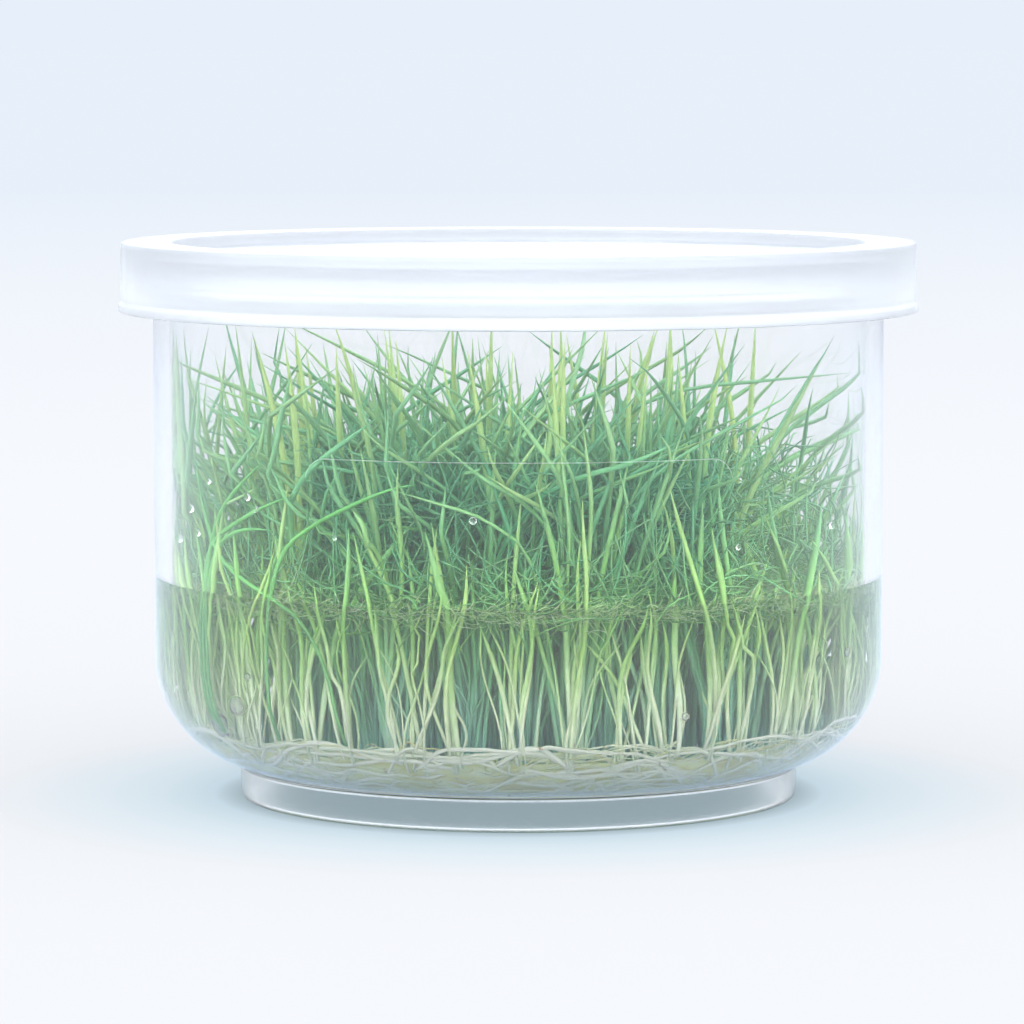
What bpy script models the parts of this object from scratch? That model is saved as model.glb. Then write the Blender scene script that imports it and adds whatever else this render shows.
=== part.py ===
"""Dwarf hairgrass growing in clear gel, in a lidded clear cup with a foot ring.

Metres, +Z up. The origin is at the centre of the foot ring's underside.
"""

import math
import random

import bmesh
import bpy
import numpy as np
from mathutils import Vector

MM = 0.001

# The cup: a clear round tub with a rounded bottom edge and a foot ring.
CUP_RADIUS = 40.0 * MM
CUP_WALL = 1.8 * MM
CORNER_RADIUS = 12.0 * MM
FOOT_HEIGHT = 3.5 * MM
FOOT_RADIUS = 30.65 * MM
FOOT_WALL = 1.75 * MM
FLANGE_RADIUS = 42.0 * MM
FLANGE_LOW = 54.45 * MM
FLANGE_HIGH = 56.65 * MM
NECK_RADIUS = 41.2 * MM
MOUTH_RADIUS = 39.6 * MM
CUP_HEIGHT = 59.3 * MM

# The lid: a push-on cap with a sunken panel and a beaded skirt.
LID_TOP = 60.85 * MM
LID_RADIUS = 43.5 * MM
LID_BOTTOM = 53.3 * MM
LID_THICKNESS = 1.2 * MM
PANEL_RADIUS = 37.8 * MM
PANEL_DEPTH = 1.6 * MM
PLUG_RADIUS = 39.2 * MM
BEAD_RADIUS = 43.8 * MM
BEAD_INNER_RADIUS = 40.5 * MM
BEAD_HEIGHT = 0.85 * MM

# The label: a clear sticker on the front of the cup, which is at -Y.
LABEL_WIDTH = 47.0 * MM
LABEL_HEIGHT = 19.4 * MM
LABEL_MIDDLE = 30.0 * MM
LABEL_THICKNESS = 0.2 * MM
LABEL_CORNER = 2.5 * MM

# The gel, the mat of runners that lies under it, and the tufts that grow from the mat.
GAP = 0.3 * MM
GEL_TOP = 24.2 * MM
MENISCUS_HEIGHT = 1.4 * MM
MENISCUS_WIDTH = 2.4 * MM
GEL_EDGE_ANGLE = -18.0
MAT_TOP = 8.3 * MM
MAT_FLAT_RADIUS = 26.0 * MM
MAT_EDGE_RADIUS = 35.6 * MM
MAT_EDGE_TOP = 10.0 * MM
RUNNER_RADIUS = 0.5 * MM
RUNNER_WAVE = 1.3 * MM
RUNNER_SHORT_OF_EDGE = 2.0 * MM
ARMS = 8
TUFTS_PER_ARM = 3
TURF_RADIUS = 33.0 * MM
CROWN_RADIUS = 1.7 * MM
CROWN_HEIGHT = 2.2 * MM
BLADES = 5
BLADE_RADIUS = 0.45 * MM
BLADE_RING = 1.1 * MM
BLADE_RING_SPREAD = 0.3 * MM
BLADE_BEND = GEL_TOP + 1.0 * MM
BLADE_BOW = 0.12
WIDEST_LEAN = 19.0 * MM
TALLEST_TIP = 53.2 * MM
SHORTEST_TIP = 37.0 * MM
POCKET_RADIUS = 2.7 * MM
SMALL_SIDES = 6
BLADE_SIDES = 3
RUNNER_SIDES = 4
BLADE_TRIES = 80
BLADE_SAMPLES = 60
BLADE_CLEARANCE = 1.4 * GAP

GOLDEN_ANGLE = math.pi * (3 - math.sqrt(5))
SHARP_ANGLE = math.radians(35)
MERGE_DISTANCE = 0.01 * MM
STEPS = 36
SEED = 7

RUNNER_LAYER = 2 * (RUNNER_RADIUS + GAP)
WALL_INSIDE = CUP_RADIUS - CUP_WALL
CORNER_CENTRE = (CUP_RADIUS - CORNER_RADIUS, FOOT_HEIGHT + CORNER_RADIUS)
INNER_CORNER_RADIUS = CORNER_RADIUS - CUP_WALL
FLOOR_TOP = FOOT_HEIGHT + CUP_WALL
CONTENT_CORNER_RADIUS = INNER_CORNER_RADIUS - GAP

PARTS = bpy.data.collections.new("dwarf_hairgrass_cup")
CUTTERS = bpy.data.collections.new("cutters")


def clear_scene():
    for obj in list(bpy.data.objects):
        bpy.data.objects.remove(obj)
    for collection in (PARTS, CUTTERS):
        bpy.context.scene.collection.children.link(collection)


def material(name, colour, roughness, transmission=0.0, ior=1.49):
    made = bpy.data.materials.new(name)
    made.use_nodes = True
    shader = made.node_tree.nodes["Principled BSDF"]
    shader.inputs["Base Color"].default_value = (*colour, 1.0)
    shader.inputs["Roughness"].default_value = roughness
    shader.inputs["Metallic"].default_value = 0.0
    shader.inputs["Transmission Weight"].default_value = transmission
    shader.inputs["IOR"].default_value = ior
    return made


def new_object(name, mesh, finish=None, collection=PARTS):
    obj = bpy.data.objects.new(name, mesh)
    collection.objects.link(obj)
    if finish:
        mesh.materials.append(finish)
    return obj


def arc(centre, radius, start, end, points):
    """Points of an arc in the profile's plane, as (distance from the axis, height), angles in degrees."""
    angles = [math.radians(start + (end - start) * i / (points - 1)) for i in range(points)]
    return [(centre[0] + radius * math.cos(a), centre[1] + radius * math.sin(a)) for a in angles]


def evaluated_mesh(obj):
    """The shape that an object's modifiers or curve settings give, as a mesh of its own."""
    graph = bpy.context.evaluated_depsgraph_get()
    return bpy.data.meshes.new_from_object(obj.evaluated_get(graph))


def turned(name, profile, finish):
    """A solid of revolution. The profile runs down its outer side and meets the axis at both ends."""
    mesh = bpy.data.meshes.new(name)
    points = [(r, 0.0, z) for r, z in profile]
    edges = [(i, i + 1) for i in range(len(points) - 1)]
    mesh.from_pydata(points, edges, [])
    obj = new_object(name, mesh, finish)
    screw = obj.modifiers.new("turn", "SCREW")
    screw.steps = STEPS
    screw.render_steps = STEPS
    screw.use_merge_vertices = True
    screw.merge_threshold = MERGE_DISTANCE
    obj.data = evaluated_mesh(obj)
    obj.modifiers.clear()
    obj.data.shade_smooth()
    obj.data.set_sharp_from_angle(angle=SHARP_ANGLE)
    return obj


def rounded(corner, before, after, size):
    """A corner cut back to two points, one towards each neighbour."""
    cut = []
    for other in (before, after):
        step = Vector(other) - Vector(corner)
        cut.append(tuple(Vector(corner) + step.normalized() * size))
    return cut


def cup():
    foot_inside = FOOT_RADIUS - FOOT_WALL
    meets_foot = -math.degrees(math.acos((FOOT_RADIUS - CORNER_CENTRE[0]) / CORNER_RADIUS))
    edge = 0.3 * MM
    profile = [(0.0, FLOOR_TOP)]
    profile += arc(CORNER_CENTRE, INNER_CORNER_RADIUS, -90, 0, 5)
    profile += [(WALL_INSIDE, FLANGE_LOW), (MOUTH_RADIUS, FLANGE_LOW + MOUTH_RADIUS - WALL_INSIDE)]
    profile += rounded((MOUTH_RADIUS, CUP_HEIGHT), (MOUTH_RADIUS, 0), (NECK_RADIUS, CUP_HEIGHT), edge)
    profile += rounded((NECK_RADIUS, CUP_HEIGHT), (MOUTH_RADIUS, CUP_HEIGHT), (NECK_RADIUS, 0), edge)
    profile += [(NECK_RADIUS, FLANGE_HIGH), (FLANGE_RADIUS, FLANGE_HIGH)]
    profile += [(FLANGE_RADIUS, FLANGE_LOW), (CUP_RADIUS, FLANGE_LOW)]
    profile += arc(CORNER_CENTRE, CORNER_RADIUS, 0, meets_foot, 6)
    profile += [(FOOT_RADIUS, edge), (FOOT_RADIUS - edge, 0.0)]
    profile += [(foot_inside, 0.0), (foot_inside, FOOT_HEIGHT), (0.0, FOOT_HEIGHT)]
    return turned("cup", profile, material("clear_plastic", (0.93, 0.96, 0.98), 0.06, 0.9))


def lid():
    panel_top = LID_TOP - PANEL_DEPTH
    plate_under = LID_TOP - LID_THICKNESS
    skirt_inside = LID_RADIUS - LID_THICKNESS
    bead_top = LID_BOTTOM + BEAD_HEIGHT
    edge = 0.3 * MM
    profile = [(0.0, panel_top), (PANEL_RADIUS - edge, panel_top), (PANEL_RADIUS, panel_top + edge)]
    profile += [(PANEL_RADIUS, LID_TOP - edge), (PANEL_RADIUS + edge, LID_TOP)]
    profile += arc((LID_RADIUS - 2 * edge, LID_TOP - 2 * edge), 2 * edge, 90, 0, 3)
    profile += [(LID_RADIUS, bead_top + edge), (BEAD_RADIUS, bead_top), (BEAD_RADIUS, LID_BOTTOM + edge)]
    profile += [(BEAD_RADIUS - edge, LID_BOTTOM), (BEAD_INNER_RADIUS, LID_BOTTOM)]
    profile += [(BEAD_INNER_RADIUS, bead_top), (skirt_inside, bead_top)]
    profile += [(skirt_inside, plate_under), (PLUG_RADIUS, plate_under)]
    panel_under = panel_top - LID_THICKNESS
    profile += [(PLUG_RADIUS, panel_under), (0.0, panel_under)]
    return turned("lid", profile, material("milky_plastic", (0.93, 0.95, 0.98), 0.3, 0.5))


def label():
    """The sticker: a thin sheet wrapped on the front of the cup, with rounded corners."""
    half_width = LABEL_WIDTH / 2
    half_height = LABEL_HEIGHT / 2
    inner_radius = CUP_RADIUS + GAP
    straight = half_width - LABEL_CORNER
    corner_angles = [math.radians(a) for a in (0, 30, 60, 80)]
    right = [straight + LABEL_CORNER * math.sin(a) for a in corner_angles]
    middle = [straight * (i / 5 - 1) for i in range(1, 10)]
    columns = [-x for x in reversed(right)] + middle + right
    mesh = bpy.data.meshes.new("label")
    built = bmesh.new()
    bmesh.ops.create_grid(built, x_segments=len(columns) - 1, y_segments=1, size=0.5)
    built.verts.ensure_lookup_table()
    for vert in built.verts:
        along = columns[round((vert.co.x + 0.5) * (len(columns) - 1))]
        past = max(0.0, abs(along) - straight)
        reach = half_height - LABEL_CORNER + math.sqrt(LABEL_CORNER**2 - past**2)
        height = LABEL_MIDDLE + math.copysign(reach, vert.co.y)
        angle = along / inner_radius - math.pi / 2
        vert.co = (inner_radius * math.cos(angle), inner_radius * math.sin(angle), height)
    built.to_mesh(mesh)
    built.free()
    obj = new_object("label", mesh, material("clear_film", (0.95, 0.97, 1.0), 0.12, 0.9))
    thicken = obj.modifiers.new("thickness", "SOLIDIFY")
    thicken.thickness = LABEL_THICKNESS
    thicken.offset = 1.0
    return obj


def mat_height(radius):
    """Height of the mat's upper face: flat in the middle, rising on the cup's rounded bottom edge."""
    share = max(0.0, radius - MAT_FLAT_RADIUS) / (MAT_EDGE_RADIUS - MAT_FLAT_RADIUS)
    return MAT_TOP + (MAT_EDGE_TOP - MAT_TOP) * share**1.5


def tuft_place(arm, step):
    """Where a tuft stands: a sunflower pattern, in which each arm of tufts grows along one runner."""
    index = arm + step * ARMS
    radius = TURF_RADIUS * math.sqrt((index + 0.5) / (ARMS * TUFTS_PER_ARM))
    return Vector((radius * math.cos(index * GOLDEN_ANGLE), radius * math.sin(index * GOLDEN_ANGLE)))


def tuft_places():
    return [tuft_place(arm, step) for step in range(TUFTS_PER_ARM) for arm in range(ARMS)]


def tube_section(radius, sides):
    """A small closed outline that a curve sweeps along itself, for tubes with few sides."""
    curve = bpy.data.curves.new("tube_section", "CURVE")
    spline = curve.splines.new("POLY")
    spline.points.add(sides - 1)
    spline.use_cyclic_u = True
    for index, point in enumerate(spline.points):
        angle = 2 * math.pi * index / sides
        point.co = (radius * math.cos(angle), radius * math.sin(angle), 0.0, 1.0)
    obj = bpy.data.objects.new("tube_section", curve)
    CUTTERS.objects.link(obj)
    return obj


def tubes(name, paths, radius, sides):
    """Tubes along paths of (point, share of the radius), made a mesh with welded caps."""
    section = tube_section(radius, sides)
    curve = bpy.data.curves.new(name, "CURVE")
    curve.dimensions = "3D"
    curve.bevel_mode = "OBJECT"
    curve.bevel_object = section
    curve.use_fill_caps = True
    for path in paths:
        spline = curve.splines.new("POLY")
        spline.points.add(len(path) - 1)
        for point, (place, share) in zip(spline.points, path):
            point.co = (*place, 1.0)
            point.radius = share
    obj = bpy.data.objects.new(name, curve)
    CUTTERS.objects.link(obj)
    mesh = evaluated_mesh(obj)
    bpy.data.objects.remove(obj)
    bpy.data.objects.remove(section)
    built = bmesh.new()
    built.from_mesh(mesh)
    bmesh.ops.remove_doubles(built, verts=built.verts, dist=MERGE_DISTANCE)
    bmesh.ops.recalc_face_normals(built, faces=built.faces)
    built.to_mesh(mesh)
    built.free()
    return mesh


def helper(name, mesh):
    """An object that only cuts or joins another one."""
    obj = new_object(name, mesh, collection=CUTTERS)
    obj.hide_render = True
    obj.display_type = "WIRE"
    return obj


def boolean(obj, other, operation):
    cut = obj.modifiers.new(operation.lower(), "BOOLEAN")
    cut.operation = operation
    cut.object = other
    cut.solver = "EXACT"


def root_mat():
    """The mat of woven roots that fills the bottom of the cup."""
    halfway = (MAT_FLAT_RADIUS + MAT_EDGE_RADIUS) / 2
    edge_angle = math.degrees(math.asin((MAT_EDGE_TOP - CORNER_CENTRE[1]) / CONTENT_CORNER_RADIUS))
    profile = [(0.0, MAT_TOP), (MAT_FLAT_RADIUS, MAT_TOP)]
    profile += [(r, mat_height(r)) for r in (halfway, MAT_EDGE_RADIUS)]
    profile += arc(CORNER_CENTRE, CONTENT_CORNER_RADIUS, edge_angle, -90, 4)
    profile += [(0.0, FLOOR_TOP + GAP)]
    return turned("root_mat", profile, material("roots", (0.80, 0.78, 0.62), 0.5))


def runner(arm, finish):
    """One runner, lying on the mat from near its middle to its edge, and passing under its arm's tufts."""
    rng = random.Random(SEED + arm)
    stops = [tuft_place(arm, step) for step in range(TUFTS_PER_ARM)]
    outward = stops[-1].normalized() * (MAT_EDGE_RADIUS - RUNNER_SHORT_OF_EDGE)
    stops = [stops[0] * 0.6] + stops + [outward]
    spots = []
    for start, end in zip(stops, stops[1:]):
        sideways = (end - start).orthogonal().normalized() * rng.choice((-1, 1)) * RUNNER_WAVE
        spots += [start, start.lerp(end, 0.5) + sideways]
    spots.append(stops[-1])
    path = [((*spot, mat_height(spot.length) + GAP + RUNNER_RADIUS), 1.0) for spot in spots]
    name = f"runner_{arm + 1}"
    return new_object(name, tubes(name, [path], RUNNER_RADIUS, RUNNER_SIDES), finish)


def runners():
    finish = material("runners", (0.86, 0.86, 0.66), 0.45)
    for arm in range(ARMS):
        runner(arm, finish)


def crown_base(place):
    """Height of a tuft's underside, a gap above the runner that passes below it."""
    return mat_height(place.length + CROWN_RADIUS) + RUNNER_LAYER


def blade_path(foot, bend, tip):
    """A blade: straight up through the gel, then leaning, then bowing over a little to its point."""
    middle = bend.lerp(tip, 0.5) + Vector((0.0, 0.0, (tip - bend).xy.length * BLADE_BOW))
    return [(foot, 0.8), (bend, 1.0), (middle, 0.75), (tip, 0.15)]


def samples(path):
    """Points along a path, each with the blade's radius there, as rows of an array."""
    spots, shares = zip(*path)
    ends = np.arange(len(path))
    along = np.linspace(0.0, ends[-1], BLADE_SAMPLES)
    columns = [np.interp(along, ends, column) for column in zip(*spots)]
    return np.column_stack(columns + [np.interp(along, ends, shares) * BLADE_RADIUS])


def is_clear(path, taken):
    """Whether a blade stays inside the cup and keeps a gap to every blade that stands already."""
    rows = samples(path)
    if (np.hypot(rows[:, 0], rows[:, 1]) + rows[:, 3]).max() > WALL_INSIDE - GAP:
        return False
    for other in taken:
        apart = np.linalg.norm(rows[:, None, :3] - other[None, :, :3], axis=2)
        if (apart - rows[:, None, 3] - other[None, :, 3]).min() < BLADE_CLEARANCE:
            return False
    return True


def blade(place, base, direction, taken, rng):
    """The first clear path of many tries, which lean less and less. A blade without one is left out."""
    aim = Vector((math.cos(direction), math.sin(direction)))
    foot = Vector((*(place + aim * BLADE_RING), base))
    bend = Vector((*(place + aim * (BLADE_RING + BLADE_RING_SPREAD)), BLADE_BEND))
    for attempt in range(BLADE_TRIES):
        lean = WIDEST_LEAN * rng.uniform(0.3, 1.0) * (1 - attempt / BLADE_TRIES)
        turn = direction + rng.uniform(-1.2, 1.2)
        height = rng.uniform(SHORTEST_TIP, TALLEST_TIP)
        tip = Vector((bend.x + lean * math.cos(turn), bend.y + lean * math.sin(turn), height))
        path = blade_path(foot, bend, tip)
        if is_clear(path, taken):
            taken.append(samples(path))
            return path
    return None


def small_cylinder(built, place, low, high, low_radius, high_radius):
    """A short many-sided post that stands at a place, added to a mesh that is being built."""
    made = bmesh.ops.create_cone(
        built,
        cap_ends=True,
        segments=SMALL_SIDES,
        radius1=low_radius,
        radius2=high_radius,
        depth=high - low,
    )
    bmesh.ops.translate(built, verts=made["verts"], vec=(*place, (low + high) / 2))


def tuft(number, place, taken, finish):
    """One tuft: a low crown with tapering blades, joined into one solid."""
    rng = random.Random(SEED + number)
    base = crown_base(place)
    name = f"tuft_{number:02d}"
    mesh = bpy.data.meshes.new(name)
    built = bmesh.new()
    small_cylinder(built, place, base, base + CROWN_HEIGHT, CROWN_RADIUS, CROWN_RADIUS * 0.85)
    built.to_mesh(mesh)
    built.free()
    obj = new_object(name, mesh, finish)
    first = rng.uniform(0, 2 * math.pi)
    turns = [first + 2 * math.pi * i / BLADES for i in range(BLADES)]
    paths = [blade(place, base + CROWN_HEIGHT / 2, turn, taken, rng) for turn in turns]
    blades = tubes(name + "_blades", [path for path in paths if path], BLADE_RADIUS, BLADE_SIDES)
    boolean(obj, helper(name + "_blades", blades), "UNION")
    return obj


def tufts():
    finish = material("grass", (0.22, 0.50, 0.16), 0.45)
    taken = []
    for number, place in enumerate(tuft_places(), 1):
        tuft(number, place, taken, finish)


def culture_gel():
    """The clear gel above the mat, with a straight pocket around the foot of each tuft."""
    content_radius = WALL_INSIDE - GAP
    halfway = (MAT_FLAT_RADIUS + MAT_EDGE_RADIUS) / 2
    profile = [(0.0, GEL_TOP), (content_radius - MENISCUS_WIDTH, GEL_TOP)]
    profile += [(content_radius - MENISCUS_WIDTH * 0.35, GEL_TOP + MENISCUS_HEIGHT * 0.3)]
    profile += [(content_radius, GEL_TOP + MENISCUS_HEIGHT)]
    profile += arc(CORNER_CENTRE, CONTENT_CORNER_RADIUS, 0, GEL_EDGE_ANGLE, 3)
    profile += [(r, mat_height(r) + RUNNER_LAYER) for r in (MAT_EDGE_RADIUS, halfway, MAT_FLAT_RADIUS)]
    profile += [(0.0, MAT_TOP + RUNNER_LAYER)]
    obj = turned("culture_gel", profile, material("clear_gel", (0.94, 0.97, 0.94), 0.02, 1.0, 1.34))
    mesh = bpy.data.meshes.new("gel_pockets")
    built = bmesh.new()
    for place in tuft_places():
        small_cylinder(built, place, 0.0, 2 * GEL_TOP, POCKET_RADIUS, POCKET_RADIUS)
    built.to_mesh(mesh)
    built.free()
    boolean(obj, helper("gel_pockets", mesh), "DIFFERENCE")
    return obj


clear_scene()
cup()
lid()
label()
root_mat()
runners()
tufts()
culture_gel()
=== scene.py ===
"""Looks of the dwarf hairgrass in its culture cup: clear plastic, milky lid, wet gel, roots and leaves.

Metres, +Z up, in the frame's own place. The cup's axis is Z, and its front is at -Y.
"""

import math
import random

import bmesh
import bpy
import numpy as np
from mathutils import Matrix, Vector, noise

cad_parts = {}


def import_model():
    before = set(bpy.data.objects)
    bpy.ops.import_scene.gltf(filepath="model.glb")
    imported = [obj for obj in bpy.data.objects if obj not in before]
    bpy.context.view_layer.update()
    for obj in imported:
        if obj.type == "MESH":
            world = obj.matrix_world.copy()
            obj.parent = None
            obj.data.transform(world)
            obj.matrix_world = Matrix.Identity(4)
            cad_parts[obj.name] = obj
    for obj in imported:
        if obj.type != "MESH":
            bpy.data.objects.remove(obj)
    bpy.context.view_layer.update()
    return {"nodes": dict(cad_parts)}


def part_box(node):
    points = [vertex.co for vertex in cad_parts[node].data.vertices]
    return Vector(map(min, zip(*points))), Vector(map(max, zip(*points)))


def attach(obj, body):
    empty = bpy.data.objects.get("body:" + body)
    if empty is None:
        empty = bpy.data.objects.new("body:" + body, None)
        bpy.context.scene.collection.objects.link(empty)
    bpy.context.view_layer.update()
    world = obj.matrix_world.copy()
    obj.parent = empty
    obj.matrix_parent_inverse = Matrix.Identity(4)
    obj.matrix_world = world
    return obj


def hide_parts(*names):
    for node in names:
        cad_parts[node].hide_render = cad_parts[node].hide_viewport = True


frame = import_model()

MM = 0.001
SEED = 11

# Sizes of the cup
CUP_RADIUS = 40.0 * MM
CUP_WALL = 1.8 * MM
CORNER_RADIUS = 12.0 * MM
FOOT_HEIGHT = 3.5 * MM
FOOT_RADIUS = 30.65 * MM
FOOT_WALL = 1.75 * MM
FOOT_TAPER = 0.15 * MM
FOOT_TAPER_HEIGHT = 0.8 * MM
HAZY_BELOW = FOOT_HEIGHT - 0.2 * MM
HAZY_PLASTIC = 1
FLANGE_RADIUS = 42.0 * MM
FLANGE_LOW = 54.45 * MM
FLANGE_HIGH = 56.65 * MM
NECK_RADIUS = 41.2 * MM
MOUTH_RADIUS = 39.6 * MM
CUP_HEIGHT = 59.3 * MM
CUP_EDGE_RADIUS = 0.35 * MM

# Sizes of the lid
LID_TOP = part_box("lid")[1][2]
LID_RADIUS = 43.5 * MM
LID_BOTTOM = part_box("lid")[0][2]
LID_THICKNESS = 1.2 * MM
PANEL_RADIUS = 37.8 * MM
PANEL_DEPTH = 1.6 * MM
PLUG_RADIUS = 39.2 * MM
BEAD_RADIUS = 43.8 * MM
BEAD_INNER_RADIUS = 40.5 * MM
BEAD_HEIGHT = 0.85 * MM
BEAD_SLOPE = 0.3 * MM
LID_EDGE_RADIUS = 0.4 * MM

# Sizes of what the cup holds
GEL_TOP = 24.2 * MM
MENISCUS_WIDTH = 2.4 * MM
SEAT = 0.05 * MM
MAT_TOP = 8.3 * MM
MAT_FLAT_RADIUS = 26.0 * MM
MAT_EDGE_RADIUS = 35.6 * MM
MAT_EDGE_TOP = 10.0 * MM
TALLEST_TIP = 53.2 * MM
LABEL_WIDTH = 47.0 * MM
LABEL_HEIGHT = 19.4 * MM
LABEL_MIDDLE = 30.0 * MM
LABEL_CORNER = 2.5 * MM

WALL_INSIDE = CUP_RADIUS - CUP_WALL
CORNER_CENTRE = (CUP_RADIUS - CORNER_RADIUS, FOOT_HEIGHT + CORNER_RADIUS)
INNER_CORNER_RADIUS = CORNER_RADIUS - CUP_WALL
FLOOR_TOP = FOOT_HEIGHT + CUP_WALL
DEEPEST_DROP = INNER_CORNER_RADIUS * 0.999

# How profiles are turned
TURN_STEPS = 180
ARC_POINTS = 17
SHARP_ANGLE = math.radians(40)
MERGE_DISTANCE = 0.001 * MM

# How a profile's corners are rounded, as shares of a straight stretch and of the rounding
NEARLY_STRAIGHT = math.radians(150)
STRETCH_SHARE = 0.3
ROUND_OFF = 0.45
SUPPORT_STEP = 0.4

# Where most values of a noise node lie
NOISE_LOW = 0.3
NOISE_HIGH = 0.7

# A Mix node's sockets for colours, by their places
MIX_SHARE = 0
MIX_FIRST = 6
MIX_SECOND = 7
MIX_RESULT = 2

UP = (0.0, 0.0, 1.0)
WHITE = (1.0, 1.0, 1.0)
BLACK = (0.0, 0.0, 0.0)


def principled(name, colour, roughness, ior=1.45, transmission=0.0):
    """A material whose uniform values sit on the shader's own sockets."""
    made = bpy.data.materials.new(name)
    made.use_nodes = True
    shader = made.node_tree.nodes["Principled BSDF"]
    shader.inputs["Base Color"].default_value = (*colour, 1.0)
    shader.inputs["Roughness"].default_value = roughness
    shader.inputs["IOR"].default_value = ior
    shader.inputs["Transmission Weight"].default_value = transmission
    return made


def node(material, kind, **values):
    """A new node in a material, with its properties and its inputs' values set by name."""
    made = material.node_tree.nodes.new(kind)
    for key, value in values.items():
        if hasattr(made, key):
            setattr(made, key, value)
        else:
            made.inputs[key.replace("_", " ").title()].default_value = value
    return made


def link(material, start, end):
    material.node_tree.links.new(start, end)


def shader_of(material):
    return material.node_tree.nodes["Principled BSDF"]


def piece(name, mesh, material, replaced=()):
    """A new piece of the object. It rides on the one body there is."""
    obj = bpy.data.objects.new(name, mesh)
    bpy.context.scene.collection.objects.link(obj)
    mesh.materials.append(material)
    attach(obj, "root")
    if replaced:
        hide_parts(*replaced)
    return obj


def arc(centre, radius, start, end, points=ARC_POINTS):
    """Points of an arc in a profile's plane, as (distance from the axis, height), angles in degrees."""
    angles = [math.radians(start + (end - start) * i / (points - 1)) for i in range(points)]
    return [(centre[0] + radius * math.cos(a), centre[1] + radius * math.sin(a)) for a in angles]


def turned_mesh(name, profile):
    """A smooth solid of revolution. The profile runs from axis to axis, with the material on its left."""
    built = bmesh.new()
    verts = [built.verts.new((r, 0.0, z)) for r, z in profile]
    edges = [built.edges.new(pair) for pair in zip(verts, verts[1:])]
    bmesh.ops.spin(
        built,
        geom=verts + edges,
        cent=(0.0, 0.0, 0.0),
        axis=UP,
        angle=2 * math.pi,
        steps=TURN_STEPS,
        use_merge=True,
    )
    bmesh.ops.remove_doubles(built, verts=built.verts, dist=MERGE_DISTANCE)
    bmesh.ops.recalc_face_normals(built, faces=built.faces)
    mesh = bpy.data.meshes.new(name)
    built.to_mesh(mesh)
    built.free()
    mesh.shade_smooth()
    mesh.set_sharp_from_angle(angle=SHARP_ANGLE)
    return mesh


def softened(profile, size):
    """The profile with its sharp corners rounded, and a point beside each that keeps the faces flat."""
    points = [profile[0]]
    for before, corner, after in zip(profile, profile[1:], profile[2:]):
        back = Vector(before) - Vector(corner)
        ahead = Vector(after) - Vector(corner)
        if back.angle(ahead) > NEARLY_STRAIGHT:
            points.append(corner)
            continue
        reach = min(size, back.length * STRETCH_SHARE, ahead.length * STRETCH_SHARE)
        start = Vector(corner) + back.normalized() * reach
        end = Vector(corner) + ahead.normalized() * reach
        middle = Vector(corner).lerp((start + end) / 2, ROUND_OFF)
        points += [tuple(start + back.normalized() * reach * SUPPORT_STEP), tuple(start), tuple(middle)]
        points += [tuple(end), tuple(end + ahead.normalized() * reach * SUPPORT_STEP)]
    return points + [profile[-1]]


def textured(material, scale, detail=2.0):
    """A noise node on a piece's own coordinates."""
    place = node(material, "ShaderNodeTexCoord")
    grain = node(material, "ShaderNodeTexNoise", scale=scale, detail=detail)
    link(material, place.outputs["Object"], grain.inputs["Vector"])
    return grain


def uneven(material, scale, distance):
    """Faint waves in a surface, as moulded plastic and set gel have them."""
    grain = textured(material, scale)
    bump = node(material, "ShaderNodeBump", distance=distance, strength=1.0)
    link(material, grain.outputs[0], bump.inputs["Height"])
    link(material, bump.outputs["Normal"], shader_of(material).inputs["Normal"])


def varied_roughness(material, scale, low, high):
    """A roughness that differs a little from place to place."""
    grain = textured(material, scale, detail=4.0)
    spread = node(
        material,
        "ShaderNodeMapRange",
        from_min=NOISE_LOW,
        from_max=NOISE_HIGH,
        to_min=low,
        to_max=high,
    )
    link(material, grain.outputs[0], spread.inputs["Value"])
    link(material, spread.outputs[0], shader_of(material).inputs["Roughness"])


def ramp_node(material, stops):
    """A colour ramp, its stops given as (position, colour)."""
    made = node(material, "ShaderNodeValToRGB")
    ramp = made.color_ramp
    ramp.elements[0].position, ramp.elements[0].color = stops[0][0], (*stops[0][1], 1.0)
    ramp.elements[1].position, ramp.elements[1].color = stops[-1][0], (*stops[-1][1], 1.0)
    for position, colour in stops[1:-1]:
        ramp.elements.new(position).color = (*colour, 1.0)
    return made


def mixed(material, blend, first, second, share=1.0):
    """A node that blends two colours, each of them a node's output."""
    made = node(material, "ShaderNodeMix", data_type="RGBA", blend_type=blend)
    if isinstance(share, float):
        made.inputs[MIX_SHARE].default_value = share
    else:
        link(material, share, made.inputs[MIX_SHARE])
    link(material, first, made.inputs[MIX_FIRST])
    link(material, second, made.inputs[MIX_SECOND])
    return made.outputs[MIX_RESULT]


# The clear cup
def clear_plastic():
    material = principled("clear_plastic", (0.993, 0.997, 1.0), 0.015, ior=1.56, transmission=1.0)
    shader = shader_of(material)
    shader.inputs["Sheen Weight"].default_value = 0.26
    shader.inputs["Sheen Roughness"].default_value = 0.45
    shader.inputs["Sheen Tint"].default_value = (0.53, 0.71, 1.0, 1.0)
    varied_roughness(material, scale=90.0, low=0.006, high=0.02)
    uneven(material, scale=70.0, distance=0.02 * MM)
    return material


def hazy_plastic():
    """The foot ring's own, a little hazy from the mould."""
    material = principled("hazy_plastic", (0.985, 0.993, 1.0), 0.14, ior=1.56, transmission=1.0)
    uneven(material, scale=90.0, distance=0.02 * MM)
    return material


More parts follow.
